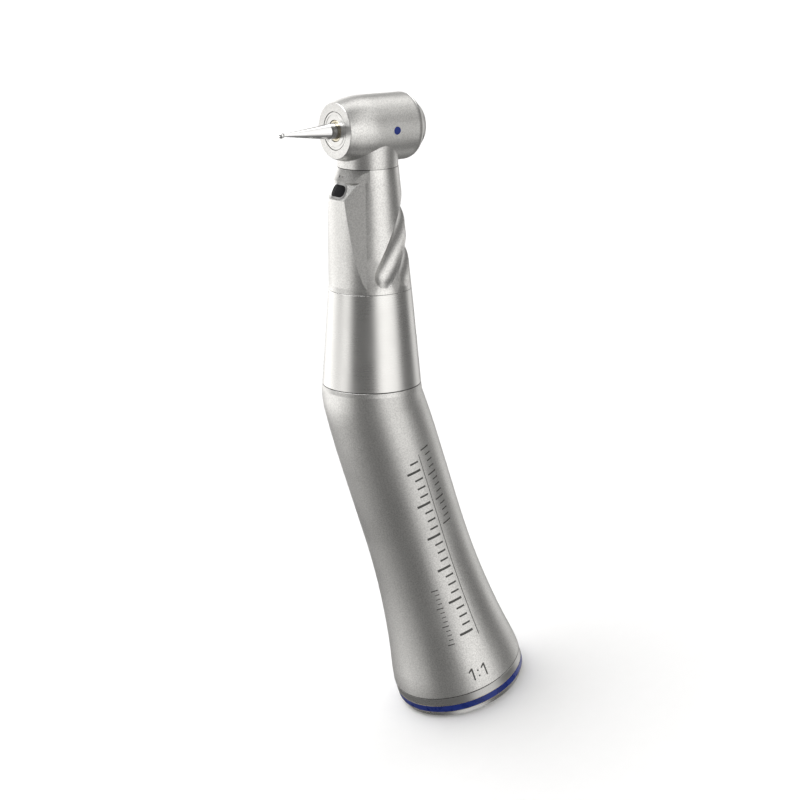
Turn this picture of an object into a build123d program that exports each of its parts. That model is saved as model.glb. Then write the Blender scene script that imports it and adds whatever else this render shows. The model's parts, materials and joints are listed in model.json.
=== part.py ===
from build123d import *
import os
from math import atan, cos, radians, sin, sqrt, tan

# Contra angle dental handpiece, 1:1, with a round bur. Millimetres.
# Row frame: origin at the centre of the rear coupling mouth, +Z along the handle towards the head.
# The object is symmetric about the XZ plane; the neck leans to +X and the bur points to -X.

os.makedirs("parts", exist_ok=True)

# ---------------------------------------------------------------- driving dimensions
BEND_ANGLE = 18.58          # between the handle axis and the neck axis, degrees
BEND_HEIGHT = 53.55         # where the two axes meet, above the coupling mouth
HEAD_TILT = 19.90           # bur axis below the horizontal towards the push button, degrees
NECK_LENGTH = 40.66         # from the bend to the bur axis, along the neck
FACE_TO_NECK = 5.87         # from the head's face to the neck axis, along the bur axis

# Outer form of the handle
MOUTH_R = 9.84              # rear edge of the end ring
BAND_R = 10.40              # end ring behind the shoulder
BAND_TOP = 3.69             # seam between the end ring and the handle
SHOULDER_TOP = 6.5          # where the rounded shoulder runs into the flare
FLARE_TOP = 31.0            # where the flare runs into the waist
FLARE_ARC = 135.0           # radius of the flare's hollow curve
WAIST_R = 7.81
WAIST_TOP = 44.0
BEND_R = 7.60               # pipe radius in the bend
BEND_ARC = 8.30             # centre line radius of the bend

# Seams along the neck: distance from the bend and outer radius
SLEEVE_SEAM, SLEEVE_SEAM_R = 2.08, 7.50
NECK_SEAM, NECK_SEAM_R = 16.77, 6.25
HEAD_SEAM, HEAD_SEAM_R = 35.08, 4.55
SEAM_CHAMFER = 0.09

# Head barrel
STUB_R = 4.50               # neck stub below the barrel
BARREL_R = 5.00
FACE_R = 4.15
FACE_CURVE_END = 5.0        # where the front taper runs into the cylinder
REAR_FILLET = 1.6
REAR_FLAT = 13.2            # rear end of the back cap
CAP_SEAM = 12.3             # seam between the barrel and the back cap
BUTTON_TOP = 14.62

# Coupling socket
SOCKET_MOUTH_R, SOCKET_MOUTH_DEPTH = 8.2, 4.0
SOCKET_R, SOCKET_FLOOR = 6.0, 22.0
SNAP_HEIGHT = 16.0          # middle of the snap ring groove
SLEEVE_TOP = 24.0
CARRIER_FLANGE_TOP = 26.0

# Bur, latch type shank of 2.35 mm, 22 mm long
SHANK_R = 1.175
BUR_LENGTH = 22.0
BALL_R = 0.425
BALL_REACH = 9.29           # ball centre in front of the face
CONE_BASE = 1.2             # shank showing in front of the face
BUR_BORE = 1.20

# Ball bearings, 3 x 6 x 2
RACE_BORE, RACE_OUTER, RACE_WIDTH = 1.50, 3.00, 2.00
BALL_PITCH_R, RACE_BALL_R, RACE_WALL = 2.25, 0.50, 0.45
BALL_COUNT = 7
BALL_GAP = 0.02
SEAT_R = RACE_BORE - 0.01   # shaft seat
POCKET_R = RACE_OUTER + 0.01

# Bevel gears, 12 teeth, all pairs 1:1
TEETH = 12
TOOTH_ANGLE = 11.5          # degrees, of a pitch of 30
ADDENDUM, DEDENDUM = 0.22, 0.30

# Light guide and spray tubes, offsets from the axis on the bur side
GUIDE_OFFSET, GUIDE_R = 4.75, 0.80
TUBE_OFFSET, TUBE_SIDE, TUBE_R, TUBE_BORE = 4.35, 1.75, 0.45, 0.25
TUBE_ARC = 14.0
PASSAGE_GAP = 0.04

# ---------------------------------------------------------------- frames
neck_dir = Vector(sin(radians(BEND_ANGLE)), 0, cos(radians(BEND_ANGLE)))
neck_back = Vector(cos(radians(BEND_ANGLE)), 0, -sin(radians(BEND_ANGLE)))
head_dir = Vector(cos(radians(HEAD_TILT)), 0, -sin(radians(HEAD_TILT)))
head_up = Vector(sin(radians(HEAD_TILT)), 0, cos(radians(HEAD_TILT)))

bend_point = Vector(0, 0, BEND_HEIGHT)
head_point = bend_point + neck_dir * NECK_LENGTH
face_point = head_point - head_dir * FACE_TO_NECK

neck_frame = Plane(origin=bend_point, x_dir=neck_back, z_dir=neck_dir)
head_frame = Plane(origin=face_point, x_dir=head_up, z_dir=head_dir)


def in_neck(shape):
    """Place a shape made along local Z on the neck axis, with its zero at the bend."""
    return neck_frame.location * shape


def in_head(shape):
    """Place a shape made along local Z on the bur axis, with its zero at the head's face."""
    return head_frame.location * shape


# ---------------------------------------------------------------- plain turned shapes
def turned(*points):
    """Solid of revolution about Z from (radius, height) corners."""
    outline = Polyline(*[(r, 0, h) for r, h in points], close=True)
    return revolve(make_face(outline), Axis.Z)


def turned_curve(*edges):
    """Solid of revolution about Z from edges drawn in the XZ plane."""
    return revolve(make_face(Wire(list(edges))), Axis.Z)


def line(start, end):
    """Edge in the XZ plane between two (radius, height) points."""
    return Edge.make_line((start[0], 0, start[1]), (end[0], 0, end[1]))


def arc(start, middle, end):
    """Arc in the XZ plane through three (radius, height) points."""
    return Edge.make_three_point_arc(*[(r, 0, h) for r, h in (start, middle, end)])


def rod(radius, low, high):
    return turned((0, low), (radius, low), (radius, high), (0, high))


def ring(inner, outer, low, high):
    return turned((inner, low), (outer, low), (outer, high), (inner, high))


def around(shape, count, start=0.0):
    """Copies of a shape spaced evenly about Z."""
    return [Rot(0, 0, start + index * 360 / count) * shape for index in range(count)]


def sector(half_angle, radius, low, high):
    """Wedge about +X with its point on the Z axis."""
    across, aside = radius * cos(radians(half_angle)), radius * sin(radians(half_angle))
    outline = Polyline((0, 0), (across, -aside), (across, aside), close=True)
    return Pos(0, 0, low) * extrude(make_face(outline), high - low)


def neck_cone_radius(height):
    """Outer radius of the neck's straight taper at a distance from the bend."""
    if height < NECK_SEAM:
        share = (height - SLEEVE_SEAM) / (NECK_SEAM - SLEEVE_SEAM)
        return SLEEVE_SEAM_R + share * (NECK_SEAM_R - SLEEVE_SEAM_R)
    share = (height - NECK_SEAM) / (HEAD_SEAM - NECK_SEAM)
    return NECK_SEAM_R + share * (HEAD_SEAM_R - NECK_SEAM_R)


# ---------------------------------------------------------------- passages for the light guide and tubes
def bent_path(offset, side, low, high):
    """Centre line from a height on the handle to a distance along the neck, beside both axes."""
    corner_height = BEND_HEIGHT + offset * tan(radians(BEND_ANGLE / 2))
    start = Vector(-offset, side, low)
    corner = Vector(-offset, side, corner_height)
    end = bend_point + neck_dir * high - neck_back * offset + Vector(0, side, 0)
    return FilletPolyline(start, corner, end, radius=TUBE_ARC)


def bent_rod(radius, offset, side, low, high):
    path = bent_path(offset, side, low, high)
    section = Plane(origin=path @ 0, z_dir=path % 0) * Circle(radius)
    return sweep(section, path)


def passages(low, high):
    """Straight holes for the guide and both tubes, in the frame of the handle or of the neck."""
    holes = [Pos(-GUIDE_OFFSET, 0, 0) * rod(GUIDE_R + PASSAGE_GAP, low, high)]
    for side in (-TUBE_SIDE, TUBE_SIDE):
        holes.append(Pos(-TUBE_OFFSET, side, 0) * rod(TUBE_R + PASSAGE_GAP, low, high))
    return holes


# ---------------------------------------------------------------- handle
def flare_radius(height):
    """Radius of the hollow flare between the shoulder and the waist."""
    reach = FLARE_TOP - height
    return WAIST_R + FLARE_ARC - sqrt(FLARE_ARC ** 2 - reach ** 2)


BEND_TANGENT = BEND_ARC * tan(radians(BEND_ANGLE / 2))      # from either end of the bend to the bend point
HOUSING_BORE_R = 6.6
SLEEVE_POCKET_R = 7.02      # bore for the coupling sleeve and the carrier's rear flange
SLEEVE_RIM_R, SLEEVE_RIM_TOP = 9.02, 5.2        # wider bore for the coupling sleeve's rim


def bent_solid(lower_solid, pipe_radius, *end_corners):
    """Join a straight solid below the bend, the bend itself and its short end at the sleeve seam."""
    hinge_line = Axis((BEND_ARC, 0, BEND_HEIGHT - BEND_TANGENT), (0, 1, 0))
    elbow = revolve(Pos(0, 0, BEND_HEIGHT - BEND_TANGENT) * Circle(pipe_radius), hinge_line, BEND_ANGLE)
    end = turned((0, BEND_TANGENT), (pipe_radius, BEND_TANGENT), *end_corners, (0, SLEEVE_SEAM))
    return lower_solid + elbow + in_neck(end)


def rear_housing():
    bend_start = BEND_HEIGHT - BEND_TANGENT
    shoulder = (flare_radius(SHOULDER_TOP), SHOULDER_TOP)
    band = (BAND_R + 0.02, BAND_TOP)
    bulge = ((shoulder[0] + band[0]) / 2 + 0.03, (SHOULDER_TOP + BAND_TOP) / 2)
    flare_middle = (FLARE_TOP + SHOULDER_TOP) / 2
    waist_middle = (WAIST_TOP + bend_start) / 2
    lower = turned_curve(
        line((0, BAND_TOP), (band[0] - SEAM_CHAMFER, BAND_TOP)),
        line((band[0] - SEAM_CHAMFER, BAND_TOP), (band[0], BAND_TOP + SEAM_CHAMFER)),
        arc((band[0], BAND_TOP + SEAM_CHAMFER), bulge, shoulder),
        arc(shoulder, (flare_radius(flare_middle), flare_middle), (WAIST_R, FLARE_TOP)),
        line((WAIST_R, FLARE_TOP), (WAIST_R, WAIST_TOP)),
        arc((WAIST_R, WAIST_TOP), (WAIST_R - 0.0525, waist_middle), (BEND_R, bend_start)),
        line((BEND_R, bend_start), (0, bend_start)),
        line((0, bend_start), (0, BAND_TOP)),
    )
    bore = rod(SLEEVE_RIM_R, BAND_TOP, SLEEVE_RIM_TOP) + rod(SLEEVE_POCKET_R, BAND_TOP, CARRIER_FLANGE_TOP)
    bore += rod(HOUSING_BORE_R, SLEEVE_TOP, bend_start)
    outside = bent_solid(lower, BEND_R, (SLEEVE_SEAM_R, SLEEVE_SEAM - SEAM_CHAMFER),
                         (SLEEVE_SEAM_R - SEAM_CHAMFER, SLEEVE_SEAM))
    return outside - bent_solid(bore, HOUSING_BORE_R, (HOUSING_BORE_R, SLEEVE_SEAM))


def rear_end_ring():
    groove_low, groove_high, groove_r = 1.05, 2.32, 9.90
    return turned(
        (SLEEVE_RIM_R, 0), (MOUTH_R - 0.12, 0), (MOUTH_R, 0.08), (10.34, groove_low), (groove_r, groove_low),
        (groove_r, groove_high), (BAND_R, groove_high), (BAND_R + 0.02, BAND_TOP - SEAM_CHAMFER),
        (BAND_R + 0.02 - SEAM_CHAMFER, BAND_TOP), (SLEEVE_RIM_R, BAND_TOP),
    )


def colour_ring():
    return turned((9.92, 1.08), (10.31, 1.08), (10.38, 1.25), (10.42, 2.15), (10.37, 2.29), (9.92, 2.29))


# ---------------------------------------------------------------- coupling socket
def coupling_sleeve():
    body = rod(SLEEVE_RIM_R - 0.02, 0, SLEEVE_RIM_TOP - 0.05) + rod(SLEEVE_POCKET_R - 0.02, 5.0, SLEEVE_TOP)
    body -= rod(SOCKET_MOUTH_R, 0, SOCKET_MOUTH_DEPTH)
    body -= rod(SOCKET_R, SOCKET_MOUTH_DEPTH, SOCKET_FLOOR)
    body -= rod(6.45, SNAP_HEIGHT - 0.55, SNAP_HEIGHT + 0.55)
    body -= rod(2.9, SOCKET_FLOOR, SLEEVE_TOP)
    return body - passages(SOCKET_FLOOR, SLEEVE_TOP)


def coupling_ring():
    """Open wire ring in the socket's groove that the motor nose snaps past."""
    wire = Plane.XZ * Pos(6.12, SNAP_HEIGHT) * Circle(0.3)
    return Rot(0, 0, 10) * revolve(wire, Axis.Z, 340)


def drive_dog():
    """Two-pronged clutch on the rear shaft, with a cross slot for its pin."""
    body = rod(2.3, 17.0, 22.4) - rod(1.53, 19.3, 22.4)
    body -= Pos(0, 0, 17.8) * Box(2.0, 6.0, 1.6)
    body -= Pos(0, 0, 20.8) * Box(0.86, 6.0, 2.1)
    return chamfer(body.edges().group_by(Axis.Z)[0], 0.15)


def dog_pin():
    return Pos(0, 0, 21.4) * Rot(90, 0, 0) * rod(0.4, -2.2, 2.2)


def coil_spring(mean_radius, wire_radius, low, high, turns):
    """Round wire helix between two heights."""
    height = high - low - 2 * wire_radius
    path = Pos(0, 0, low + wire_radius) * Helix(height / turns, height, mean_radius)
    section = Plane(origin=path @ 0, z_dir=path % 0) * Circle(wire_radius)
    return sweep(section, path, is_frenet=True)


# ---------------------------------------------------------------- bearings and gears
def ball_bearing(low):
    """Outer race, inner race and caged balls of a bearing that starts at a height."""
    middle = low + RACE_WIDTH / 2
    track = Pos(0, 0, middle) * Torus(BALL_PITCH_R, RACE_BALL_R + BALL_GAP)
    outer_race = ring(RACE_OUTER - RACE_WALL, RACE_OUTER, low, low + RACE_WIDTH) - track
    inner_race = ring(RACE_BORE, RACE_BORE + RACE_WALL, low, low + RACE_WIDTH) - track
    ball = Pos(BALL_PITCH_R, 0, middle) * Sphere(RACE_BALL_R)
    pocket = Pos(BALL_PITCH_R, 0, middle) * Sphere(RACE_BALL_R + BALL_GAP)
    cage = ring(BALL_PITCH_R - 0.14, BALL_PITCH_R + 0.14, middle + 0.1, middle + 0.78)
    cage -= around(pocket, BALL_COUNT)
    return outer_race, inner_race, Compound(children=[cage, *around(ball, BALL_COUNT)])


def bevel_gear(half_angle, inner_r, outer_r, back, hub_r, hub_back, first_tooth):
    """Straight bevel gear with its pitch cone's apex at the origin and its body towards +Z."""
    slope = radians(half_angle)

    def beside(radius, offset):
        """Point of the pitch line moved along its normal, towards the tooth tips."""
        return radius + offset * cos(slope), radius / tan(slope) - offset * sin(slope)

    root_in = beside(inner_r, -DEDENDUM)
    root_out = beside(outer_r, -DEDENDUM)
    body = turned((0, root_in[1]), root_in, root_out, (root_out[0], back), (0, back))
    body += rod(hub_r, root_in[1], hub_back)
    blank = turned(beside(inner_r, ADDENDUM), beside(outer_r, ADDENDUM),
                   beside(outer_r, -DEDENDUM - 0.08), beside(inner_r, -DEDENDUM - 0.08))
    wedge = sector(TOOTH_ANGLE / 2, 2 * outer_r, -1, hub_back + 1)
    body += [Rot(0, 0, first_tooth + index * 360 / TEETH) * (blank & wedge) for index in range(TEETH)]
    return body - rod(SEAT_R + 0.01, -1, hub_back + 1)


# ---------------------------------------------------------------- rear drive
REAR_BEARING_LOW, MID_BEARING_LOW = 25.5, 47.5
BEND_GEAR_R = (2.2, 3.0)
BEND_HALF_ANGLE = 90 - BEND_ANGLE / 2
SHAFT_GAP = 0.7             # from each shaft's end to the bend point


def rear_shaft():
    top = BEND_HEIGHT - SHAFT_GAP
    body = turned((0, 20.6), (SEAT_R - 0.2, 20.6), (SEAT_R, 20.8), (SEAT_R, 27.6), (1.3, 27.8),
                  (1.3, 47.2), (SEAT_R, 47.4), (SEAT_R, top), (0, top))
    return body - Pos(0, 0, 21.4) * Rot(90, 0, 0) * rod(0.41, -3, 3)


def rear_gear():
    frame = Plane(origin=bend_point, x_dir=(1, 0, 0), z_dir=(0, 0, -1))
    hub_back = BEND_HEIGHT - (MID_BEARING_LOW + RACE_WIDTH)
    return frame.location * bevel_gear(BEND_HALF_ANGLE, *BEND_GEAR_R, 1.7, 1.9, hub_back, 0)


def shaft_carrier():
    """Tube with two flanges that holds the rear shaft's bearings inside the handle."""
    top = 50.0
    body = rod(3.8, SLEEVE_TOP, top) + rod(SLEEVE_POCKET_R - 0.04, SLEEVE_TOP, CARRIER_FLANGE_TOP)
    body += rod(HOUSING_BORE_R - 0.05, 45.6, 47.2)
    body -= rod(POCKET_R, SLEEVE_TOP, REAR_BEARING_LOW + RACE_WIDTH)
    body -= rod(2.4, REAR_BEARING_LOW, MID_BEARING_LOW)
    body -= rod(POCKET_R, MID_BEARING_LOW, top)
    return body - passages(SLEEVE_TOP, top)


# ---------------------------------------------------------------- neck drive
NECK_BEARING_LOW, FRONT_BEARING_LOW = 5.0, 35.35
HEAD_GEAR_R = (1.90, 2.70)
HEAD_HALF_ANGLE = neck_dir.get_angle(-head_dir) / 2


def neck_shaft():
    top = NECK_LENGTH - 2.2
    return in_neck(turned((0, SHAFT_GAP), (SEAT_R, SHAFT_GAP), (SEAT_R, 7.1), (1.2, 7.3), (1.2, 34.9),
                          (SEAT_R, 35.1), (SEAT_R, top), (0, top)))


def neck_rear_gear():
    return in_neck(bevel_gear(BEND_HALF_ANGLE, *BEND_GEAR_R, 1.7, 1.9, NECK_BEARING_LOW, 15))


def neck_front_gear():
    frame = Plane(origin=head_point, x_dir=neck_back, z_dir=-neck_dir)
    return frame.location * bevel_gear(HEAD_HALF_ANGLE, *HEAD_GEAR_R, 3.25, 1.9, 3.28, 0)


def neck_carrier():
    """Tube with one flange that holds the neck shaft's rear bearing and centres the neck shell."""
    flange_low, flange_high = 3.1, 4.6
    body = rod(NECK_BORE_R - 0.07, flange_low, NECK_BORE_TOP - 0.1) + rod(6.15, flange_low, flange_high)
    body -= rod(POCKET_R, flange_low, NECK_BEARING_LOW + RACE_WIDTH)
    body -= rod(2.3, flange_high, NECK_BORE_TOP)
    return in_neck(body - passages(flange_low, flange_high))


# ---------------------------------------------------------------- middle sleeve
def middle_sleeve():
    outside = turned(
        (0, SLEEVE_SEAM), (SLEEVE_SEAM_R - SEAM_CHAMFER, SLEEVE_SEAM),
        (neck_cone_radius(SLEEVE_SEAM + SEAM_CHAMFER), SLEEVE_SEAM + SEAM_CHAMFER),
        (neck_cone_radius(NECK_SEAM - SEAM_CHAMFER), NECK_SEAM - SEAM_CHAMFER),
        (NECK_SEAM_R - SEAM_CHAMFER, NECK_SEAM), (0, NECK_SEAM),
    )
    outside += rod(6.5, 1.0, SLEEVE_SEAM)
    return in_neck(outside - turned((0, 1.0), (6.2, 1.0), (6.2, 4.7), (5.72, NECK_SEAM), (0, NECK_SEAM)))


# ---------------------------------------------------------------- neck shell
HUMP_R = 6.18               # front ridge that covers the light guide
FACET_ANGLE = 56.0          # direction of each side facet, from the front
FLUTE_R, FLUTE_DEPTH = 2.3, 0.80
FLUTE_SLOPE = 30.0          # inclination of the flutes to the neck axis, degrees
FLUTES = ((22.1, -14.3), (15.2, 23.0))  # where each crosses the neck's side, and its end from there, degrees
FLUTE_POINTS = 17
BEVEL_LOW = 30.65           # where the ridge starts to slope in towards the head
STEP_HEIGHT = 33.25         # small step above the light window
STEP_R = (4.85, 5.20)       # below and above the step
BEVEL_TOP_R = 4.42
WINDOW_HEIGHT = 31.95
WINDOW_SIZE = (1.86, 3.06, 0.75)        # along the slope, across, corner radius
BEZEL_WALL = 0.32
WINDOW_DEPTH = 0.85
SPRAY_HEIGHT, SPRAY_SIDE, SPRAY_OUT, SPRAY_R = 34.1, 0.34, 4.83, 0.14
NOTCH_ANGLE, NOTCH_DEPTH = 58.0, 0.10   # shallow recess beside the ridge, above the step
NECK_BORE_R, NECK_BORE_TOP = 3.72, 27.0
SHAFT_BORE_R = 2.62
GUIDE_END, TUBE_END = 30.4, 29.6


def ridge(offset=0.0):
    """Turned form of the front ridge: a cylinder, a bevel for the light window, a step and a second bevel."""
    return turned(
        (0, NECK_SEAM), (HUMP_R + offset, NECK_SEAM), (HUMP_R + offset, BEVEL_LOW),
        (STEP_R[0] + offset, STEP_HEIGHT), (STEP_R[1], STEP_HEIGHT), (BEVEL_TOP_R, HEAD_SEAM), (0, HEAD_SEAM),
    )


def window_prism(grow, low, high):
    """Rounded block square to the lower bevel at the window, between two depths."""
    slope = (HUMP_R - STEP_R[0]) / (STEP_HEIGHT - BEVEL_LOW)
    angle = atan(slope)
    centre = Vector(slope * (WINDOW_HEIGHT - BEVEL_LOW) - HUMP_R, 0, WINDOW_HEIGHT)
    frame = Plane(origin=centre, x_dir=(sin(angle), 0, cos(angle)), z_dir=(-cos(angle), 0, sin(angle)))
    length, width, corner = WINDOW_SIZE
    outline = RectangleRounded(length + 2 * grow, width + 2 * grow, corner + grow)
    return frame.location * Pos(0, 0, low) * extrude(outline, high - low)


def flute_cutter(crossing, end_angle):
    """Round-ended tool along an inclined plane section of the taper, from one side over the back to the other."""
    fall = (NECK_SEAM_R - HEAD_SEAM_R) / (HEAD_SEAM - NECK_SEAM)
    rise = tan(radians(FLUTE_SLOPE))
    points = []
    for index in range(FLUTE_POINTS):
        angle = radians(end_angle + (180 - 2 * end_angle) * index / (FLUTE_POINTS - 1))
        height = (crossing * rise + (NECK_SEAM_R + fall * NECK_SEAM) * sin(angle)) / (rise + fall * sin(angle))
        reach = neck_cone_radius(height) + FLUTE_R - FLUTE_DEPTH
        points.append((reach * sin(angle), -reach * cos(angle), height))
    path = Spline(*points)
    section = Plane(origin=path @ 0, z_dir=path % 0) * Circle(FLUTE_R)
    ends = [Pos(*(path @ end)) * Sphere(FLUTE_R) for end in (0, 1)]
    return [sweep(section, path), *ends]


def side_facet(side):
    """Block outside the flat facet that leaves the taper at the ridge's flank."""
    facing = radians(FACET_ANGLE)
    taper = atan((NECK_SEAM_R - HEAD_SEAM_R) / (HEAD_SEAM - NECK_SEAM))
    radial = Vector(-cos(facing), side * sin(facing), 0)
    normal = radial * cos(taper) + Vector(0, 0, sin(taper))
    origin = radial * NECK_SEAM_R + Vector(0, 0, NECK_SEAM) - normal * 0.03
    return Plane(origin=origin, z_dir=normal).location * Pos(0, 0, 10) * Box(80, 80, 20)


def spray_hole(side):
    """Fine hole from the end of a tube's passage to the ridge above the window."""
    start = Vector(-TUBE_OFFSET, side * TUBE_SIDE, TUBE_END + 0.1)
    run = Vector(-SPRAY_OUT, side * SPRAY_SIDE, SPRAY_HEIGHT) - start
    overrun = 0.25
    return Plane(origin=start, z_dir=run).location * rod(SPRAY_R, 0, run.length * (1 + overrun))


def neck_shell():
    low, high = NECK_SEAM, HEAD_SEAM
    step_r = neck_cone_radius(STEP_HEIGHT) - NOTCH_DEPTH
    notch = turned((step_r, STEP_HEIGHT), (BARREL_R + 2, STEP_HEIGHT), (BARREL_R + 2, high),
                   (HEAD_SEAM_R - NOTCH_DEPTH, high))
    cone = turned((0, low), (NECK_SEAM_R, low), (HEAD_SEAM_R, high), (0, high))
    cone -= notch & Rot(0, 0, 180) * sector(NOTCH_ANGLE, 20, low, high)
    hump = ridge() & Rot(0, 0, 180) * sector(FACET_ANGLE, 20, low, high)
    hump -= [side_facet(-1), side_facet(1)]
    body = cone + hump
    for crossing, end_angle in FLUTES:
        body -= flute_cutter(crossing, end_angle)
    body -= [rod(NECK_BORE_R, low, NECK_BORE_TOP), rod(SHAFT_BORE_R, NECK_BORE_TOP, high)]
    body -= passages(low, TUBE_END + 0.3)
    body -= Pos(-GUIDE_OFFSET, 0, 0) * rod(GUIDE_R + PASSAGE_GAP, TUBE_END, GUIDE_END + 1.2)
    body -= [spray_hole(-1), spray_hole(1)]
    return in_neck(body - window_prism(BEZEL_WALL + 0.01, -WINDOW_DEPTH, 0.35))


def light_window():
    return in_neck(window_prism(-0.01, -WINDOW_DEPTH + 0.02, 1) & ridge(-0.04))


def window_bezel():
    body = window_prism(BEZEL_WALL, -WINDOW_DEPTH + 0.02, 1) - window_prism(0, -2, 2)
    return in_neck(body & ridge(0.05))


# ---------------------------------------------------------------- head
LOWER_BEARING_LOW, UPPER_BEARING_LOW = 0.78, 9.15
DOT_CENTRE, DOT_R = 7.75, 0.60


def rear_arc_radius(height):
    """Radius of the rounded rear edge of the head."""
    return BARREL_R - REAR_FILLET + sqrt(REAR_FILLET ** 2 - (height - REAR_FLAT + 1.4) ** 2)


def head_housing():
    fillet_start = REAR_FLAT - 1.4
    taper = FACE_CURVE_END - 0.06
    bulge = BARREL_R - (taper / 2) ** 2 * (BARREL_R - FACE_R) / taper ** 2
    rim_end = CAP_SEAM - SEAM_CHAMFER
    rim = rear_arc_radius(rim_end)
    middle = (fillet_start + rim_end) / 2
    barrel = turned_curve(
        line((0, 0), (FACE_R - 0.06, 0)),
        line((FACE_R - 0.06, 0), (FACE_R, 0.06)),
        arc((FACE_R, 0.06), (bulge, FACE_CURVE_END - taper / 2), (BARREL_R, FACE_CURVE_END)),
        line((BARREL_R, FACE_CURVE_END), (BARREL_R, fillet_start)),
        arc((BARREL_R, fillet_start), (rear_arc_radius(middle), middle), (rim, rim_end)),
        line((rim, rim_end), (rim - SEAM_CHAMFER, CAP_SEAM)),
        line((rim - SEAM_CHAMFER, CAP_SEAM), (0, CAP_SEAM)),
        line((0, CAP_SEAM), (0, 0)),
    )
    stub = turned((0, HEAD_SEAM), (STUB_R - 0.06, HEAD_SEAM), (STUB_R, HEAD_SEAM + 0.06),
                  (STUB_R, NECK_LENGTH), (0, NECK_LENGTH))
    body = in_head(barrel) + in_neck(stub)
    cavity = rod(2.86, 0, 0.75) + rod(POCKET_R, 0.75, 3) + rod(3.6, 2.8, 9.0) + rod(4.12, 9.0, CAP_SEAM)
    body -= in_head(cavity)
    bore = rod(2.62, HEAD_SEAM, 36) + rod(POCKET_R, 35.33, 37.4) + rod(3.1, 37.4, NECK_LENGTH - 0.5)
    body -= in_neck(bore)
    for side in (-1, 1):
        recess = Pos(0, side * BARREL_R, DOT_CENTRE) * Rot(90, 0, 0) * rod(DOT_R + 0.03, -0.26, 0.26)
        body -= in_head(recess)
    return body


def ratio_dots():
    dots = []
    for side in (-1, 1):
        plug = Pos(0, side * BARREL_R, DOT_CENTRE) * Rot(90, 0, 0) * rod(DOT_R, -0.24, 0.24)
        dots.append(in_head(plug & rod(BARREL_R - 0.02, 0, CAP_SEAM)))
    return Compound(children=dots)


def head_seal():
    body = ring(1.63, 2.84, 0.05, 0.72) - ring(2.74, 2.9, 0, 0.4)
    return in_head(body - ring(2.30, 2.42, 0, 0.10))


def bur_guide_bush():
    return in_head(turned((BUR_BORE + 0.06, 0.10), (1.50, 0.10), (1.56, 0.16), (1.56, 0.70),
                          (BUR_BORE, 0.70), (BUR_BORE, 0.16)))


def spindle():
    body = turned((BUR_BORE, 0.72), (SEAT_R, 0.72), (SEAT_R, 2.82), (1.8, 2.82), (1.8, 3.3), (SEAT_R, 3.3),
                  (SEAT_R, 12.0), (BUR_BORE, 12.0))
    return in_head(body - claw_blocks(1.0, 1.6, 11.25, 12.1, 0.78))


def claw_blocks(inner, outer, low, high, width):
    """Three blocks about Z between two radii."""
    block = Pos((inner + outer) / 2, 0, (low + high) / 2) * Box(outer - inner, width, high - low)
    return around(block, 3)


def spindle_gear():
    frame = Plane(origin=head_point, x_dir=-head_up, z_dir=head_dir)
    return frame.location * bevel_gear(HEAD_HALF_ANGLE, *HEAD_GEAR_R, 3.25, 1.9, 3.28, 15)


def chuck_body():
    body = ring(SEAT_R + 0.01, 2.25, 11.17, 12.0) - Pos(0, 0, 11.6) * Torus(2.22, 0.14)
    return in_head(body - claw_blocks(1.0, 2.6, 11.25, 12.1, 0.78))


def chuck_claws():
    low, high = 11.3, 12.1
    limits = ring(BUR_BORE + 0.02, 2.08, low, high)
    return in_head(Compound(children=[block & limits for block in claw_blocks(1.0, 2.3, low, high, 0.7)]))


def chuck_garter():
    return in_head(Pos(0, 0, 11.6) * Torus(2.22, 0.12))


def back_cap():
    rim_start = CAP_SEAM + SEAM_CHAMFER
    rim = rear_arc_radius(rim_start)
    middle = (rim_start + REAR_FLAT) / 2
    rear_r = rear_arc_radius(REAR_FLAT)
    body = turned_curve(
        line((2.6, 9.05), (4.1, 9.05)),
        line((4.1, 9.05), (4.1, CAP_SEAM)),
        line((4.1, CAP_SEAM), (rim - SEAM_CHAMFER, CAP_SEAM)),
        line((rim - SEAM_CHAMFER, CAP_SEAM), (rim, rim_start)),
        arc((rim, rim_start), (rear_arc_radius(middle), middle), (rear_r, REAR_FLAT)),
        line((rear_r, REAR_FLAT), (2.6, REAR_FLAT)),
        line((2.6, REAR_FLAT), (2.6, 9.05)),
    )
    body -= rod(POCKET_R, 9.0, UPPER_BEARING_LOW + RACE_WIDTH)
    body -= rod(3.82, 11.9, 12.9)
    return in_head(body - rod(3.58, 12.5, REAR_FLAT))


def push_button():
    cap_r, edge, crown_r, crown_edge = 3.54, 13.95, 3.1, 14.30
    crown_arc = (crown_r ** 2 + (BUTTON_TOP - crown_edge) ** 2) / (2 * (BUTTON_TOP - crown_edge))
    crown_middle = BUTTON_TOP - crown_arc + sqrt(crown_arc ** 2 - (crown_r / 2) ** 2)
    body = turned_curve(
        line((0, 12.45), (3.78, 12.45)),
        line((3.78, 12.45), (3.78, 12.86)),
        line((3.78, 12.86), (cap_r, 12.86)),
        line((cap_r, 12.86), (cap_r, edge)),
        arc((cap_r, edge), (3.42, 14.18), (crown_r, crown_edge)),
        arc((crown_r, crown_edge), (crown_r / 2, crown_middle), (0, BUTTON_TOP)),
        line((0, BUTTON_TOP), (0, 12.45)),
    )
    body -= ring(2.1, 3.1, 12.45, 13.45) + rod(2.11, 12.45, 12.75) + rod(1.5, 12.45, 13.45)
    return in_head(body - ring(2.55, 2.7, 14.3, 15))


def button_spring():
    return in_head(coil_spring(2.85, 0.13, 11.92, 13.43, 3))


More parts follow.
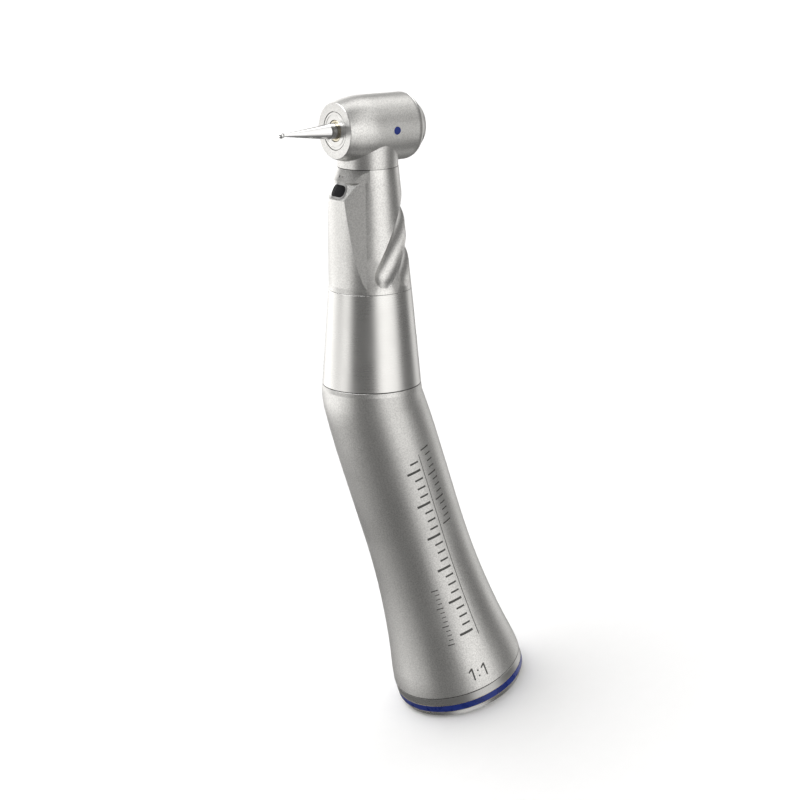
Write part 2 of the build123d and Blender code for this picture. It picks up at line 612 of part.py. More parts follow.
def bur():
    rear = BUR_LENGTH - BALL_REACH - BALL_R
    neck_r = 0.19
    ball_back = -BALL_REACH + sqrt(BALL_R ** 2 - neck_r ** 2)
    body = turned((0, ball_back - 0.02), (neck_r, ball_back - 0.02), (SHANK_R - 0.04, -CONE_BASE),
                  (SHANK_R, -CONE_BASE + 0.06), (SHANK_R, 11.35), (0.8, 11.4), (0.8, 11.9), (SHANK_R, 11.95),
                  (SHANK_R, rear - 0.25), (0.9, rear), (0, rear))
    ball = Pos(0, 0, -BALL_REACH) * Sphere(BALL_R)
    flute = Pos(BALL_R + 0.11, 0, -BALL_REACH) * Rot(25, 0, 0) * Box(0.3, 0.13, 2)
    ball -= around(flute, 8)
    body = body + ball
    flat = Pos(1.475, 0, 10.94) * Box(2, 4, 2.75)
    return in_head(body - flat)


# ---------------------------------------------------------------- light guide and tubes
def light_guide():
    return bent_rod(GUIDE_R, GUIDE_OFFSET, 0, SOCKET_FLOOR, GUIDE_END)


def spray_tube(side):
    outside = bent_rod(TUBE_R, TUBE_OFFSET, side, SOCKET_FLOOR, TUBE_END)
    return outside - bent_rod(TUBE_BORE, TUBE_OFFSET, side, SOCKET_FLOOR, TUBE_END)


# ---------------------------------------------------------------- write every node
nodes = {
    "rear_housing": rear_housing(),
    "rear_end_ring": rear_end_ring(),
    "colour_ring": colour_ring(),
    "coupling_sleeve": coupling_sleeve(),
    "coupling_ring": coupling_ring(),
    "drive_dog": drive_dog(),
    "dog_pin": dog_pin(),
    "dog_spring": coil_spring(1.95, 0.18, 22.45, 25.45, 4.5),
    "rear_shaft": rear_shaft(),
    "rear_gear": rear_gear(),
    "shaft_carrier": shaft_carrier(),
    "neck_shaft": neck_shaft(),
    "neck_rear_gear": neck_rear_gear(),
    "neck_front_gear": neck_front_gear(),
    "neck_carrier": neck_carrier(),
    "middle_sleeve": middle_sleeve(),
    "neck_shell": neck_shell(),
    "light_window": light_window(),
    "window_bezel": window_bezel(),
    "light_guide": light_guide(),
    "water_tube": spray_tube(TUBE_SIDE),
    "air_tube": spray_tube(-TUBE_SIDE),
    "head_housing": head_housing(),
    "ratio_dots": ratio_dots(),
    "head_seal": head_seal(),
    "bur_guide_bush": bur_guide_bush(),
    "spindle": spindle(),
    "spindle_gear": spindle_gear(),
    "chuck_body": chuck_body(),
    "chuck_claws": chuck_claws(),
    "chuck_garter": chuck_garter(),
    "back_cap": back_cap(),
    "push_button": push_button(),
    "button_spring": button_spring(),
    "bur": bur(),
}

bearings = {
    "rear_bearing": (REAR_BEARING_LOW, None),
    "mid_bearing": (MID_BEARING_LOW, None),
    "neck_bearing": (NECK_BEARING_LOW, in_neck),
    "front_bearing": (FRONT_BEARING_LOW, in_neck),
    "lower_head_bearing": (LOWER_BEARING_LOW, in_head),
    "upper_head_bearing": (UPPER_BEARING_LOW, in_head),
}
for name, (low, place) in bearings.items():
    for piece, shape in zip(("outer", "inner", "balls"), ball_bearing(low)):
        nodes[f"{name}_{piece}"] = place(shape) if place else shape

for name, shape in nodes.items():
    export_step(shape, f"parts/{name}.step")
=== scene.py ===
import json
import math

import bmesh
import bpy
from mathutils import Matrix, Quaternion, Vector
from mathutils.bvhtree import BVHTree


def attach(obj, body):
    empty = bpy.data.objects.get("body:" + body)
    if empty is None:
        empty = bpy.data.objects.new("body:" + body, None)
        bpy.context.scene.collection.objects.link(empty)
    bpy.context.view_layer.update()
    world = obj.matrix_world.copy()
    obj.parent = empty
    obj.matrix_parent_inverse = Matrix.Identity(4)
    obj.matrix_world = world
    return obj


# A contra angle dental handpiece on a plain pale floor, under soft studio light.
# The scene is in metres. Values in millimetres are multiplied by MM where they are used.

MM = 0.001

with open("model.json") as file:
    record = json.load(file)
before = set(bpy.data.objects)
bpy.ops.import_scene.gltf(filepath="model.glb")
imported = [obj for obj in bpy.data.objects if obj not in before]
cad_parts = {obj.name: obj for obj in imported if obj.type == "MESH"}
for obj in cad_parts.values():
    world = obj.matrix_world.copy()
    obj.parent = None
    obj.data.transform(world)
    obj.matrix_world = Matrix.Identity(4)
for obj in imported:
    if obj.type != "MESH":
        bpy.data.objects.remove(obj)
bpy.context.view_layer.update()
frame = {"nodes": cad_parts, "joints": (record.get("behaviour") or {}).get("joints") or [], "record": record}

# ---------------------------------------------------------------- axes of the object, from the frame's joints
JOINTS = {joint["name"]: joint for joint in frame["joints"]}
HANDLE_AXIS = Vector((0, 0, 1))
NECK_AXIS = Vector(JOINTS["neck_shaft_spin"]["axis"]).normalized()
NECK_POINT = Vector(JOINTS["neck_shaft_spin"]["pos_m"])
HEAD_AXIS = Vector(JOINTS["spindle_spin"]["axis"]).normalized()
HEAD_POINT = Vector(JOINTS["spindle_spin"]["pos_m"])
ORIGIN = Vector((0, 0, 0))


# ---------------------------------------------------------------- node building
class Shader:
    """A material or world whose nodes are added one by one and linked as they are made."""

    def __init__(self, owner):
        owner.use_nodes = True
        self.owner = owner
        self.tree = owner.node_tree
        self.tree.nodes.clear()

    def node(self, kind, inputs=None, **settings):
        """Add a node; settings are its properties, inputs its sockets by name or number."""
        made = self.tree.nodes.new(kind)
        for name, value in settings.items():
            setattr(made, name, value)
        for name, value in (inputs or {}).items():
            if isinstance(value, bpy.types.NodeSocket):
                self.tree.links.new(value, made.inputs[name])
            else:
                made.inputs[name].default_value = value
        return made

    def math(self, operation, *values):
        return self.node("ShaderNodeMath", dict(enumerate(values)), operation=operation).outputs[0]

    def vector(self, operation, *values):
        made = self.node("ShaderNodeVectorMath", dict(enumerate(values)), operation=operation)
        return made.outputs["Value" if operation in ("DOT_PRODUCT", "LENGTH") else "Vector"]

    def remap(self, value, low, high, to_low=0.0, to_high=1.0, smooth=False):
        return self.node(
            "ShaderNodeMapRange",
            {"Value": value, "From Min": low, "From Max": high, "To Min": to_low, "To Max": to_high},
            interpolation_type="SMOOTHSTEP" if smooth else "LINEAR",
        ).outputs["Result"]

    def mix(self, factor, first, second):
        """Colour between two colours, each a socket or three numbers."""
        made = self.node("ShaderNodeMix", data_type="RGBA")
        for socket, value in ((made.inputs[0], factor), (made.inputs[6], first), (made.inputs[7], second)):
            if isinstance(value, bpy.types.NodeSocket):
                self.tree.links.new(value, socket)
            else:
                socket.default_value = value if isinstance(value, float) else (*value, 1.0)
        return made.outputs[2]

    def place(self):
        """Position on the object at rest."""
        return self.node("ShaderNodeTexCoord").outputs["Object"]

    def noise(self, size, detail=2.0, place=None, rough=0.5):
        """Noise from 0 to 1 whose grains are about one size across, in metres."""
        return self.node(
            "ShaderNodeTexNoise",
            {"Vector": place or self.place(), "Scale": 1.0 / size, "Detail": detail, "Roughness": rough},
        ).outputs["Fac"]

    def finish(self, **inputs):
        """Close the material with one Principled shader."""
        surface = self.node("ShaderNodeBsdfPrincipled", inputs)
        self.node("ShaderNodeOutputMaterial", {"Surface": surface.outputs[0]})
        return self.owner


def new_shader(name):
    return Shader(bpy.data.materials.new(name))


def along_and_across(shader, axis, point):
    """Distance along an axis, and distance from it, of each point of the surface."""
    arm = shader.vector("SUBTRACT", shader.place(), tuple(point))
    along = shader.vector("DOT_PRODUCT", arm, tuple(axis))
    across = shader.vector("LENGTH", shader.vector("CROSS_PRODUCT", arm, tuple(axis)))
    return along, across


def turning_lines(shader, axis, point, pitch):
    """Fine lathe lines round an axis: bands along it on a barrel and circles about it on a face."""
    along, across = along_and_across(shader, axis, point)
    place = shader.node("ShaderNodeCombineXYZ", {"X": along, "Y": across}).outputs[0]
    return shader.noise(pitch, detail=3.0, place=place, rough=0.6)


def edge_wear(shader):
    """1 on sharp outside edges and 0 elsewhere."""
    pointiness = shader.node("ShaderNodeNewGeometry").outputs["Pointiness"]
    return shader.remap(pointiness, 0.53, 0.62, smooth=True)


def bump(shader, height, depth, strength=1.0):
    made = shader.node("ShaderNodeBump", {"Height": height, "Distance": depth, "Strength": strength})
    return made.outputs[0]


# ---------------------------------------------------------------- metals
def blasted_steel(name, tone, shine):
    """Bead blasted stainless steel: tiny round dimples, faint handling marks, edges rubbed brighter."""
    shader = new_shader(name)
    dimples = shader.noise(0.16 * MM, detail=2.0)
    specks = shader.remap(shader.noise(0.20 * MM, detail=1.0), 0.35, 0.65)
    patches = shader.remap(shader.noise(9 * MM, detail=3.0), 0.35, 0.65, smooth=True)
    dark, light = [channel * 0.85 for channel in tone], [min(1, channel * 1.11) for channel in tone]
    colour = shader.mix(specks, dark, light)
    colour = shader.mix(shader.math("MULTIPLY", patches, 0.25), colour, [channel * 0.93 for channel in tone])
    worn = edge_wear(shader)
    rubbed = [min(1, channel * 1.10) for channel in tone]
    colour = shader.mix(shader.math("MULTIPLY", worn, 0.2), colour, rubbed)
    rough = shader.remap(patches, 0, 1, shine - 0.02, shine + 0.03)
    rough = shader.math("SUBTRACT", rough, shader.math("MULTIPLY", worn, 0.08))
    normal = bump(shader, dimples, 0.006 * MM, 0.60)
    return shader.finish(**{"Base Color": colour, "Metallic": 1.0, "Roughness": rough, "Normal": normal})


def turned_steel(name, tone, shine, axis, point, pitch, depth):
    """Steel with lathe lines about an axis, over a very fine grain."""
    shader = new_shader(name)
    lines = turning_lines(shader, axis, point, pitch)
    grain = shader.noise(0.12 * MM, detail=1.0)
    patches = shader.remap(shader.noise(7 * MM, detail=3.0), 0.35, 0.65, smooth=True)
    colour = shader.mix(shader.remap(lines, 0.3, 0.7), [channel * 0.95 for channel in tone], tone)
    colour = shader.mix(shader.math("MULTIPLY", grain, 0.12), colour, [channel * 0.8 for channel in tone])
    worn = edge_wear(shader)
    rubbed = [min(1, channel * 1.10) for channel in tone]
    colour = shader.mix(shader.math("MULTIPLY", worn, 0.2), colour, rubbed)
    rough = shader.math("ADD", shader.remap(patches, 0, 1, shine - 0.03, shine + 0.03),
                        shader.remap(lines, 0.3, 0.7, -0.02, 0.02))
    height = shader.math("ADD", lines, shader.math("MULTIPLY", grain, 0.5))
    normal = bump(shader, height, depth, 0.5)
    return shader.finish(**{"Base Color": colour, "Metallic": 1.0, "Roughness": rough, "Normal": normal})


def polished_steel(name, tone, shine, axis, point):
    """Mirror polished steel with hairline turning marks and faint smears."""
    shader = new_shader(name)
    lines = turning_lines(shader, axis, point, 0.05 * MM)
    smears = shader.remap(shader.noise(1.5 * MM, detail=4.0), 0.4, 0.7, smooth=True)
    colour = shader.mix(shader.math("MULTIPLY", smears, 0.3), tone, [channel * 0.85 for channel in tone])
    rough = shader.remap(smears, 0, 1, shine, shine + 0.07)
    normal = bump(shader, lines, 0.002 * MM, 0.4)
    return shader.finish(**{"Base Color": colour, "Metallic": 1.0, "Roughness": rough, "Normal": normal})


def drawn_steel(name, tone, shine):
    """Drawn wire and tube: long shallow scratches and small dull spots."""
    shader = new_shader(name)
    scratches = shader.noise(0.09 * MM, detail=4.0, rough=0.7)
    spots = shader.remap(shader.noise(0.6 * MM, detail=2.0), 0.45, 0.7, smooth=True)
    colour = shader.mix(spots, tone, [channel * 0.78 for channel in tone])
    rough = shader.remap(spots, 0, 1, shine, shine + 0.12)
    normal = bump(shader, scratches, 0.005 * MM, 0.5)
    return shader.finish(**{"Base Color": colour, "Metallic": 1.0, "Roughness": rough, "Normal": normal})


# ---------------------------------------------------------------- enamel, glass and print
def blue_enamel():
    """Deep blue baked enamel with a slight orange peel and a soft gloss."""
    shader = new_shader("blue_enamel")
    cloud = shader.remap(shader.noise(1.2 * MM, detail=3.0), 0.35, 0.65, smooth=True)
    colour = shader.mix(cloud, (0.013, 0.030, 0.200), (0.020, 0.044, 0.280))
    peel = shader.noise(0.35 * MM, detail=1.0)
    return shader.finish(**{"Base Color": colour, "Roughness": shader.remap(cloud, 0, 1, 0.26, 0.32),
                            "Specular IOR Level": 0.3, "Normal": bump(shader, peel, 0.002 * MM, 0.3)})


def fibre_cells(shader, size):
    """Packed round fibre ends: 0 at each fibre's centre, rising to its wall."""
    made = shader.node("ShaderNodeTexVoronoi", {"Vector": shader.place(), "Scale": 1 / size})
    return made.outputs["Distance"]


def guide_glass():
    """Fused glass fibre rod, clear with fine packed fibres."""
    shader = new_shader("guide_glass")
    cells = fibre_cells(shader, 0.08 * MM)
    colour = shader.mix(shader.remap(cells, 0.3, 0.6), (0.86, 0.89, 0.88), (0.55, 0.60, 0.60))
    return shader.finish(**{"Base Color": colour, "Roughness": shader.remap(cells, 0.2, 0.6, 0.08, 0.22),
                            "IOR": 1.52, "Transmission Weight": 0.6,
                            "Normal": bump(shader, cells, 0.004 * MM, 0.4)})


def window_glass():
    """Polished end of the light guide, dark when the lamp is off, with its fibres just showing."""
    shader = new_shader("window_glass")
    cells = fibre_cells(shader, 0.10 * MM)
    haze = shader.remap(shader.noise(0.9 * MM, detail=3.0), 0.4, 0.65, smooth=True)
    colour = shader.mix(shader.remap(cells, 0.25, 0.6), (0.006, 0.006, 0.007), (0.016, 0.016, 0.018))
    colour = shader.mix(shader.math("MULTIPLY", haze, 0.4), colour, (0.022, 0.022, 0.025))
    return shader.finish(**{"Base Color": colour, "Roughness": shader.remap(haze, 0, 1, 0.10, 0.22),
                            "IOR": 1.5, "Specular IOR Level": 0.15,
                            "Normal": bump(shader, cells, 0.002 * MM, 0.3)})


def gilt_line():
    """Thin gilt edge of the colour ring, slightly rubbed."""
    shader = new_shader("gilt_line")
    rubbed = shader.remap(shader.noise(0.5 * MM, detail=3.0), 0.4, 0.65, smooth=True)
    colour = shader.mix(rubbed, (0.56, 0.47, 0.30), (0.62, 0.58, 0.50))
    grain = shader.noise(0.10 * MM, detail=1.0)
    return shader.finish(**{"Base Color": colour, "Metallic": 1.0,
                            "Roughness": shader.remap(rubbed, 0, 1, 0.26, 0.36),
                            "Normal": bump(shader, grain, 0.003 * MM, 0.4)})


def seam_shade_and_residue():
    """Painted shade of a seam's gap, with some polish residue: a dull near-black grey standing in for the
    shadow in the gap.
    """
    shader = new_shader("seam_shade_and_residue")
    residue = shader.remap(shader.noise(0.4 * MM, detail=3.0), 0.35, 0.65, smooth=True)
    # Painted shade: near-black greys, varied a little by the residue noise
    colour = shader.mix(residue, (0.030, 0.030, 0.029), (0.075, 0.074, 0.070))
    return shader.finish(**{"Base Color": colour, "Metallic": 0.3,
                            "Roughness": shader.remap(residue, 0, 1, 0.5, 0.7),
                            "Normal": bump(shader, residue, 0.004 * MM, 0.5)})


def laser_mark():
    """Annealed grey of a laser marking, a little uneven and duller than the steel."""
    shader = new_shader("laser_mark")
    grain = shader.remap(shader.noise(0.18 * MM, detail=2.0), 0.35, 0.65)
    colour = shader.mix(grain, (0.075, 0.075, 0.072), (0.120, 0.120, 0.115))
    return shader.finish(**{"Base Color": colour, "Metallic": 0.35,
                            "Roughness": shader.remap(grain, 0, 1, 0.45, 0.6),
                            "Normal": bump(shader, grain, 0.006 * MM, 0.5)})


# ---------------------------------------------------------------- which node wears what
STEEL = (0.66, 0.655, 0.64)
BRIGHT = (0.70, 0.695, 0.68)
PLAIN = (0.58, 0.575, 0.565)

blasted = blasted_steel("bead_blasted_steel", STEEL, 0.38)
satin_sleeve = turned_steel("satin_sleeve_steel", BRIGHT, 0.30, NECK_AXIS, NECK_POINT, 0.07 * MM, 0.002 * MM)
satin_rear = turned_steel("satin_rear_steel", STEEL, 0.36, HEAD_AXIS, HEAD_POINT, 0.07 * MM, 0.004 * MM)
handle_turned = turned_steel("turned_steel_handle", PLAIN, 0.30, HANDLE_AXIS, ORIGIN, 0.10 * MM, 0.006 * MM)
neck_turned = turned_steel("turned_steel_neck", PLAIN, 0.30, NECK_AXIS, NECK_POINT, 0.10 * MM, 0.006 * MM)
head_face = turned_steel("turned_steel_face", BRIGHT, 0.30, HEAD_AXIS, HEAD_POINT, 0.06 * MM, 0.004 * MM)
hard_handle = turned_steel("ground_steel_handle", PLAIN, 0.24, HANDLE_AXIS, ORIGIN, 0.05 * MM, 0.004 * MM)
hard_neck = turned_steel("ground_steel_neck", PLAIN, 0.24, NECK_AXIS, NECK_POINT, 0.05 * MM, 0.004 * MM)
hard_head = turned_steel("ground_steel_head", PLAIN, 0.24, HEAD_AXIS, HEAD_POINT, 0.05 * MM, 0.004 * MM)
nitride = turned_steel("gold_nitride", (0.62, 0.57, 0.45), 0.24, HEAD_AXIS, HEAD_POINT, 0.05 * MM, 0.003 * MM)
mirror_bur = polished_steel("polished_steel", (0.86, 0.86, 0.86), 0.07, HEAD_AXIS, HEAD_POINT)
bearing = polished_steel("bearing_steel", (0.72, 0.72, 0.73), 0.12, HEAD_AXIS, HEAD_POINT)
wire = drawn_steel("spring_steel", (0.52, 0.52, 0.53), 0.26)
tube = drawn_steel("tube_steel", (0.64, 0.64, 0.64), 0.28)

SLOT_LOOK = {
    "satin_steel": blasted,
    "fine_satin_steel": satin_rear,
    "turned_steel": handle_turned,
    "polished_steel": mirror_bur,
    "hard_steel": hard_head,
    "spring_steel": wire,
    "bearing_steel": bearing,
    "tube_steel": tube,
    "gold_nitride": nitride,
    "blue_enamel": blue_enamel(),
    "guide_glass": guide_glass(),
    "window_glass": window_glass(),
}
NODE_LOOK = {
    "middle_sleeve": satin_sleeve,
    "neck_carrier": neck_turned,
    "head_seal": head_face,
    "drive_dog": hard_handle,
    "dog_pin": hard_handle,
    "rear_shaft": hard_handle,
    "rear_gear": hard_handle,
    "neck_shaft": hard_neck,
    "neck_rear_gear": hard_neck,
    "neck_front_gear": hard_neck,
}


def dress_nodes():
    """Give every CAD node the look of its own, or of its material slot."""
    slots = {part["node"]: part["material_slot"] for part in frame["record"]["subparts"]}
    for name, node in frame["nodes"].items():
        look = NODE_LOOK.get(name, SLOT_LOOK[slots[name]])
        node.data.materials.clear()
        node.data.materials.append(look)


dress_nodes()


# ---------------------------------------------------------------- marks on the handle
MARK_LOWER = 0.03 * MM          # how far a mark's foot goes into the steel
MARK_UPPER = 0.012 * MM         # how far its top stands proud
MARK_STEP = 0.35 * MM           # longest edge of a mark's mesh
CLEAR_OF_HANDLE = 20 * MM       # further from the axis than any of the handle

handle_mesh = frame["nodes"]["rear_housing"].data
handle_tree = BVHTree.FromPolygons([corner.co for corner in handle_mesh.vertices],
                                   [face.vertices for face in handle_mesh.polygons])


def on_handle(height, turn, lift):
    """Point of the handle's surface, moved outwards; turn is the angle from the front towards -Y."""
    outward = Vector((-math.cos(turn), -math.sin(turn), 0))
    start = Vector((0, 0, height)) + outward * CLEAR_OF_HANDLE
    hit = handle_tree.ray_cast(start, -outward)[0]
    return hit + outward * lift


def handle_radius(height, turn):
    hit = on_handle(height, turn, 0)
    return math.hypot(hit.x, hit.y)


def divided(outline):
    """The outline with points added so that no side is longer than a mark's step."""
    points = []
    for start, end in zip(outline, outline[1:] + outline[:1]):
        start, end = Vector(start), Vector(end)
        count = max(1, math.ceil((end - start).length / MARK_STEP))
        points += [start.lerp(end, index / count) for index in range(count)]
    return points


def engrave(name, outlines, height, turn):
    """Thin closed patches on the handle. An outline's x runs round it and its y along it, from a centre."""
    mesh = bmesh.new()
    for outline in outlines:
        corners = [mesh.verts.new((p.x, p.y, 0)) for p in divided(outline)]
        sides = [mesh.edges.new((a, b)) for a, b in zip(corners, corners[1:] + corners[:1])]
        bmesh.ops.triangle_fill(mesh, edges=sides, use_beauty=True)
    radius = handle_radius(height, turn)
    top = bmesh.ops.extrude_face_region(mesh, geom=mesh.faces[:])["geom"]
    raised = {part for part in top if isinstance(part, bmesh.types.BMVert)}
    for corner in mesh.verts:
        lift = MARK_UPPER if corner in raised else -MARK_LOWER
        corner.co = on_handle(height + corner.co.y, turn + corner.co.x / radius, lift)
    bmesh.ops.recalc_face_normals(mesh, faces=mesh.faces[:])
    data = bpy.data.meshes.new(name)
    mesh.to_mesh(data)
    mesh.free()
    piece = bpy.data.objects.new(name, data)
    bpy.context.scene.collection.objects.link(piece)
    data.materials.append(mark_look)
    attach(piece, "root")


def bar(across, along, width, height):
    """Rectangle about a centre, in an outline's own x and y."""
    half_w, half_h = width / 2, height / 2
    return [(across - half_w, along - half_h), (across + half_w, along - half_h),
            (across + half_w, along + half_h), (across - half_w, along + half_h)]


def figure_one(across, size):
    """The figure 1: a stem with a slanted flag, read from the rear end upwards."""
    left, right, flag = across - 0.06 * size, across + 0.06 * size, 0.26 * size
    return [(left, 0), (right, 0), (right, size), (left, size),
            (left - flag, size * 0.78), (left - flag, size * 0.66), (left, size * 0.82)]


mark_look = laser_mark()


def row_of_bars(name, low, high, pitch, turn, long_bar, short_bar):
    """Row of bars up the handle, every fourth one long. A bar is (length round the handle, thickness)."""
    for index in range(round((high - low) / pitch) + 1):
        width, thick = short_bar if index % 4 else long_bar
        outline = bar((long_bar[0] - width) / 2 * MM, 0, width * MM, thick * MM)
        engrave(f"{name}_{index:02d}", [outline], (low + index * pitch) * MM, math.radians(turn))


def ratio_mark():
    """The gear ratio, one to one, by the rear end."""
    size, half_gap, dot = 2.1 * MM, 1.10 * MM, 0.26 * MM
    outlines = [figure_one(-half_gap + 0.2 * MM, size), figure_one(half_gap + 0.2 * MM, size),
                bar(0, 0.22 * size, dot, dot), bar(0, 0.66 * size, dot, dot)]
    engrave("ratio_mark", outlines, 5.4 * MM, math.radians(76))


row_of_bars("scale_bar", 13.4, 43.8, 1.45, 78.7, (2.3, 0.40), (1.4, 0.30))
row_of_bars("fine_bar", 12.4, 22.4, 0.80, 60.0, (1.1, 0.16), (0.7, 0.13))
row_of_bars("upper_bar", 32.0, 45.2, 1.10, 101.0, (1.7, 0.22), (1.1, 0.18))
engrave("scale_rule", [bar(0, 0, 0.10 * MM, 32.7 * MM)], 28.45 * MM, math.radians(90.5))
ratio_mark()


# ---------------------------------------------------------------- fine trims
def trim_loop(name, outer_path, inner_path, look, body):
    """Thin closed strip between two loops of (outer, inner) corner pairs."""
    mesh = bmesh.new()
    rings = [[mesh.verts.new(point) for point in path] for path in outer_path + inner_path]
    count = len(rings[0])
    for first, second in zip(rings, rings[1:] + rings[:1]):
        for index in range(count):
            after = (index + 1) % count
            mesh.faces.new((first[index], first[after], second[after], second[index]))
    bmesh.ops.recalc_face_normals(mesh, faces=mesh.faces[:])
    data = bpy.data.meshes.new(name)
    mesh.to_mesh(data)
    mesh.free()
    for face in data.polygons:
        face.use_smooth = True
    piece = bpy.data.objects.new(name, data)
    bpy.context.scene.collection.objects.link(piece)
    data.materials.append(look)
    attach(piece, body)


TRIM_STEPS = 128


def round_axis(radius, along, axis=HANDLE_AXIS, point=ORIGIN):
    """Circle about an axis, at a distance along it from a point."""
    side = Vector((0, 1, 0))
    other = axis.cross(side)
    angles = [2 * math.pi * index / TRIM_STEPS for index in range(TRIM_STEPS)]
    return [point + (axis * along + (side * math.cos(a) + other * math.sin(a)) * radius) * MM for a in angles]


# Each gilt line: where it starts and ends along the handle, and its outer radius, in millimetres
RING_LINES = {
    "ring_line_low": (1.05, 1.11, 10.335),
    "ring_line_high": (2.26, 2.32, 10.415),
}
RING_LINE_DEPTH = 0.2


def ring_lines():
    """Thin gilt lines along both edges of the blue ring."""
    gilt = gilt_line()
    for name, (low, high, outer) in RING_LINES.items():
        inner = outer - RING_LINE_DEPTH
        trim_loop(name, [round_axis(outer, low), round_axis(outer, high)],
                  [round_axis(inner, high), round_axis(inner, low)], gilt, "root")


# Each seam: its axis and the point that it is measured from, then its place along it and its radius in mm
SEAMS = {
    "seam_rear": (HANDLE_AXIS, ORIGIN, 3.69, 10.42),
    "seam_sleeve": (NECK_AXIS, NECK_POINT, 2.08, 7.50),
    "seam_neck": (NECK_AXIS, NECK_POINT, 16.77, 6.25),
    "seam_head": (NECK_AXIS, NECK_POINT, 35.08, 4.53),
}
SEAM_HALF, SEAM_TOP, SEAM_FOOT = 0.06, 0.03, 0.12       # half its width, and the depths of its top and foot


def seam_lines():
    """Dark strip at the foot of each seam's chamfers: painted shade standing in for the shadow in the gap."""
    dark = seam_shade_and_residue()
    for name, (axis, point, along, radius) in SEAMS.items():
        top, bottom = [
            [round_axis(radius - depth, along + end, axis, point) for end in ends]
            for depth, ends in ((SEAM_TOP, (-SEAM_HALF, SEAM_HALF)), (SEAM_FOOT, (SEAM_HALF, -SEAM_HALF)))
        ]
        trim_loop(name, top, bottom, dark, "root")


DOT_RIM_OUTER, DOT_RIM_INNER = 0.72, 0.60
BARREL_RADIUS, RIM_FOOT = 5.0, 4.9          # the head's barrel, and how deep a rim reaches into it
RIM_EDGE = 4.99                             # a rim's outer edge lies just under the barrel's surface


def dot_rims():
    """Bright turned rim round each ratio dot, lying on the barrel."""
    corners = [corner.co for corner in frame["nodes"]["ratio_dots"].data.vertices]
    centre = sum(corners, Vector()) / len(corners)
    centre.y = 0
    upright = HEAD_AXIS.cross(Vector((0, 1, 0)))
    for name, side in (("dot_rim_right", -1), ("dot_rim_left", 1)):
        loops = []
        for radius, barrel in ((DOT_RIM_OUTER, RIM_EDGE), (DOT_RIM_INNER, BARREL_RADIUS),
                               (DOT_RIM_INNER, RIM_FOOT), (DOT_RIM_OUTER, RIM_FOOT)):
            loop = []
            for index in range(TRIM_STEPS):
                angle = 2 * math.pi * index / TRIM_STEPS
                aside = radius * math.sin(angle)
                out = math.sqrt(barrel ** 2 - aside ** 2) * side
                loop.append(centre + (HEAD_AXIS * radius * math.cos(angle) + upright * aside) * MM
                            + Vector((0, out * MM, 0)))
            loops.append(loop)
        trim_loop(name, loops[:2], loops[2:], dot_rim_look, "root")


dot_rim_look = polished_steel("polished_rim", (0.90, 0.89, 0.86), 0.30, HEAD_AXIS, HEAD_POINT)
ring_lines()
seam_lines()
dot_rims()


# ---------------------------------------------------------------- studio
ROOM_RADIUS = 4.0
FLOOR_GLOW = 0.05


def mesh_object(name, fill, look):
    """Object from a function that fills a bmesh."""
    mesh = bmesh.new()
    fill(mesh)
    data = bpy.data.meshes.new(name)
    mesh.to_mesh(data)
    mesh.free()
    data.materials.append(look)
    made = bpy.data.objects.new(name, data)
    bpy.context.scene.collection.objects.link(made)
    return made


def hide_from_light(piece, *kinds):
    """Rays of these kinds pass through the piece."""
    for kind in kinds:
        setattr(piece, f"visible_{kind}", False)


def floor_look():
    """Matt white paper with a little glow of its own, so that only the shadow shows."""
    shader = new_shader("white_paper")
    fibres = shader.noise(3 * MM, detail=4.0)
    colour = shader.mix(fibres, (0.90, 0.90, 0.90), (0.93, 0.93, 0.93))
    return shader.finish(**{"Base Color": colour, "Roughness": 0.9, "Specular IOR Level": 0.0,
                            "Emission Color": (1, 1, 1, 1), "Emission Strength": FLOOR_GLOW})


def backdrop_look():
    shader = new_shader("white_backdrop")
    glow = shader.node("ShaderNodeEmission", {"Color": (1, 1, 1, 1), "Strength": 1.0})
    shader.node("ShaderNodeOutputMaterial", {"Surface": glow.outputs[0]})
    return shader.owner


def make_floor():
    floor = mesh_object(
        "floor",
        lambda mesh: bmesh.ops.create_circle(mesh, cap_ends=True, radius=ROOM_RADIUS, segments=96),
        floor_look())
    hide_from_light(floor, "glossy", "transmission", "diffuse", "shadow")
    backdrop = mesh_object(
        "backdrop",
        lambda mesh: bmesh.ops.create_uvsphere(mesh, u_segments=48, v_segments=24, radius=ROOM_RADIUS),
        backdrop_look())
    hide_from_light(backdrop, "glossy", "transmission", "diffuse", "shadow")


# Each soft box: azimuth and elevation of its middle, half width, half height and soft edge in degrees, then
# its strength
SOFT_BOXES = {
    "front_low": (-84, -32, 27, 15, 24, 0.84),
    "front_high": (-84, 6, 27, 22, 26, 1.40),
    "front_upper": (-42, 36, 24, 14, 24, 0.98),
    "back_left": (124, -5, 30, 13, 20, 1.68),
    "back_right": (72, 4, 20, 20, 24, 1.80),
    "back_high": (112, 34, 34, 12, 20, 0.30),
    "left_level": (168, 4, 14, 18, 24, 1.35),
    "overhead": (12, 42, 24, 16, 26, 1.65),
    "right_low": (14, -28, 18, 20, 24, 0.82),
    "below": (-90, -84, 200, 8, 10, 0.90),
}
AMBIENT = 0.17


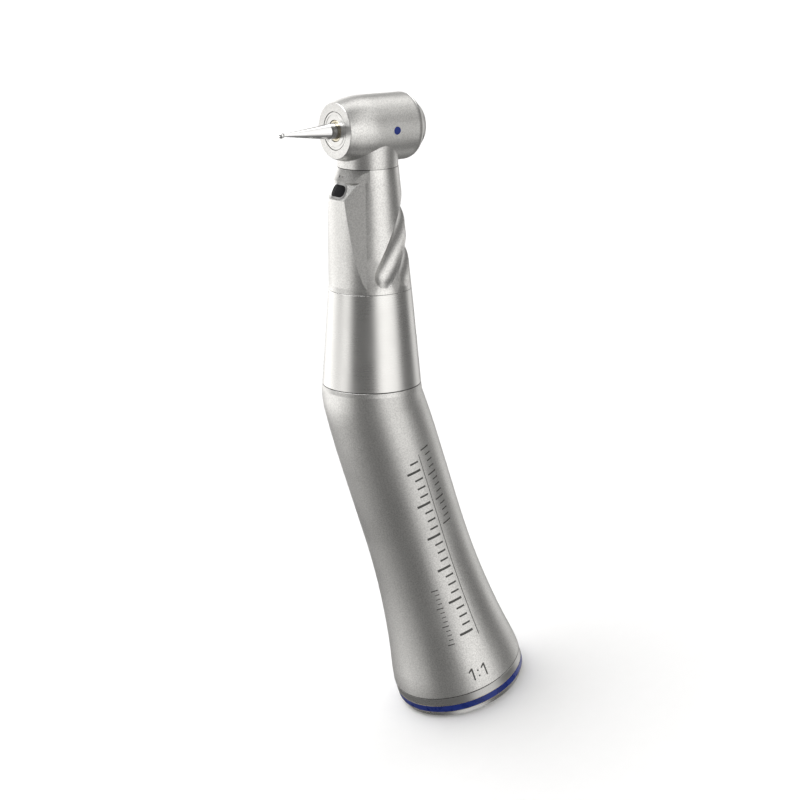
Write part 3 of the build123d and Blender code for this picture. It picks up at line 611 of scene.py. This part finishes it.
def soft_boxes():
    """World light: a dim room with soft-edged boxes round the object."""
    shader = Shader(bpy.data.worlds.new("studio"))
    bpy.context.scene.world = shader.owner
    toward = shader.node("ShaderNodeTexCoord").outputs["Generated"]
    parts = shader.node("ShaderNodeSeparateXYZ", {"Vector": toward}).outputs
    azimuth = shader.math("ARCTAN2", parts["Y"], parts["X"])
    elevation = shader.math("ARCSINE", parts["Z"])
    total = AMBIENT
    for turn, height, half_width, half_height, soft, strength in SOFT_BOXES.values():
        aside = shader.math("WRAP", shader.math("SUBTRACT", azimuth, math.radians(turn)), math.pi, -math.pi)
        above = shader.math("SUBTRACT", elevation, math.radians(height))
        inside = strength
        for offset, half in ((aside, half_width), (above, half_height)):
            share = shader.remap(shader.math("ABSOLUTE", offset), math.radians(half - soft / 2),
                                 math.radians(half + soft / 2), 1.0, 0.0, smooth=True)
            inside = shader.math("MULTIPLY", share, inside)
        total = shader.math("ADD", inside, total)
    glow = shader.node("ShaderNodeBackground", {"Color": (1.0, 0.99, 0.975, 1), "Strength": total})
    shader.node("ShaderNodeOutputWorld", {"Surface": glow.outputs[0]})


LAMP_STRENGTH, LAMP_SPREAD = 2.2, 48
LAMP_AZIMUTH, LAMP_ELEVATION = 98, 72


def shadow_lamp():
    """Broad soft lamp above and behind, which lays the shadow in front and to the right of the rear end."""
    lamp = bpy.data.lights.new("shadow_lamp", "SUN")
    lamp.energy = LAMP_STRENGTH
    lamp.angle = math.radians(LAMP_SPREAD)
    made = bpy.data.objects.new("shadow_lamp", lamp)
    bpy.context.scene.collection.objects.link(made)
    turn, height = math.radians(LAMP_AZIMUTH), math.radians(LAMP_ELEVATION)
    toward = Vector((math.cos(turn) * math.cos(height), math.sin(turn) * math.cos(height), math.sin(height)))
    made.rotation_mode = "QUATERNION"
    made.rotation_quaternion = toward.to_track_quat("Z", "Y")


# ---------------------------------------------------------------- camera
# The point looked at and the distance to it in metres, angles in degrees, and the lens in millimetres
AIM = Vector((0.00393, -0.0009, 0.05068))
VIEW_AZIMUTH, VIEW_ELEVATION, VIEW_ROLL = -30.76, 25.50, 17.30
VIEW_DISTANCE = 0.335
LENS = 98.33


def make_camera():
    turn, height = math.radians(VIEW_AZIMUTH), math.radians(VIEW_ELEVATION)
    back = Vector((math.sin(turn) * math.cos(height), -math.cos(turn) * math.cos(height), math.sin(height)))
    camera = bpy.data.objects.new("camera", bpy.data.cameras.new("camera"))
    bpy.context.scene.collection.objects.link(camera)
    camera.location = AIM + back * VIEW_DISTANCE
    camera.rotation_mode = "QUATERNION"
    upright = (-back).to_track_quat("-Z", "Y")
    camera.rotation_quaternion = upright @ Quaternion((0, 0, 1), -math.radians(VIEW_ROLL))
    camera.data.lens = LENS
    camera.data.clip_start = 0.01
    bpy.context.scene.camera = camera


make_floor()
soft_boxes()
shadow_lamp()
make_camera()
bpy.context.scene.view_settings.view_transform = "Standard"
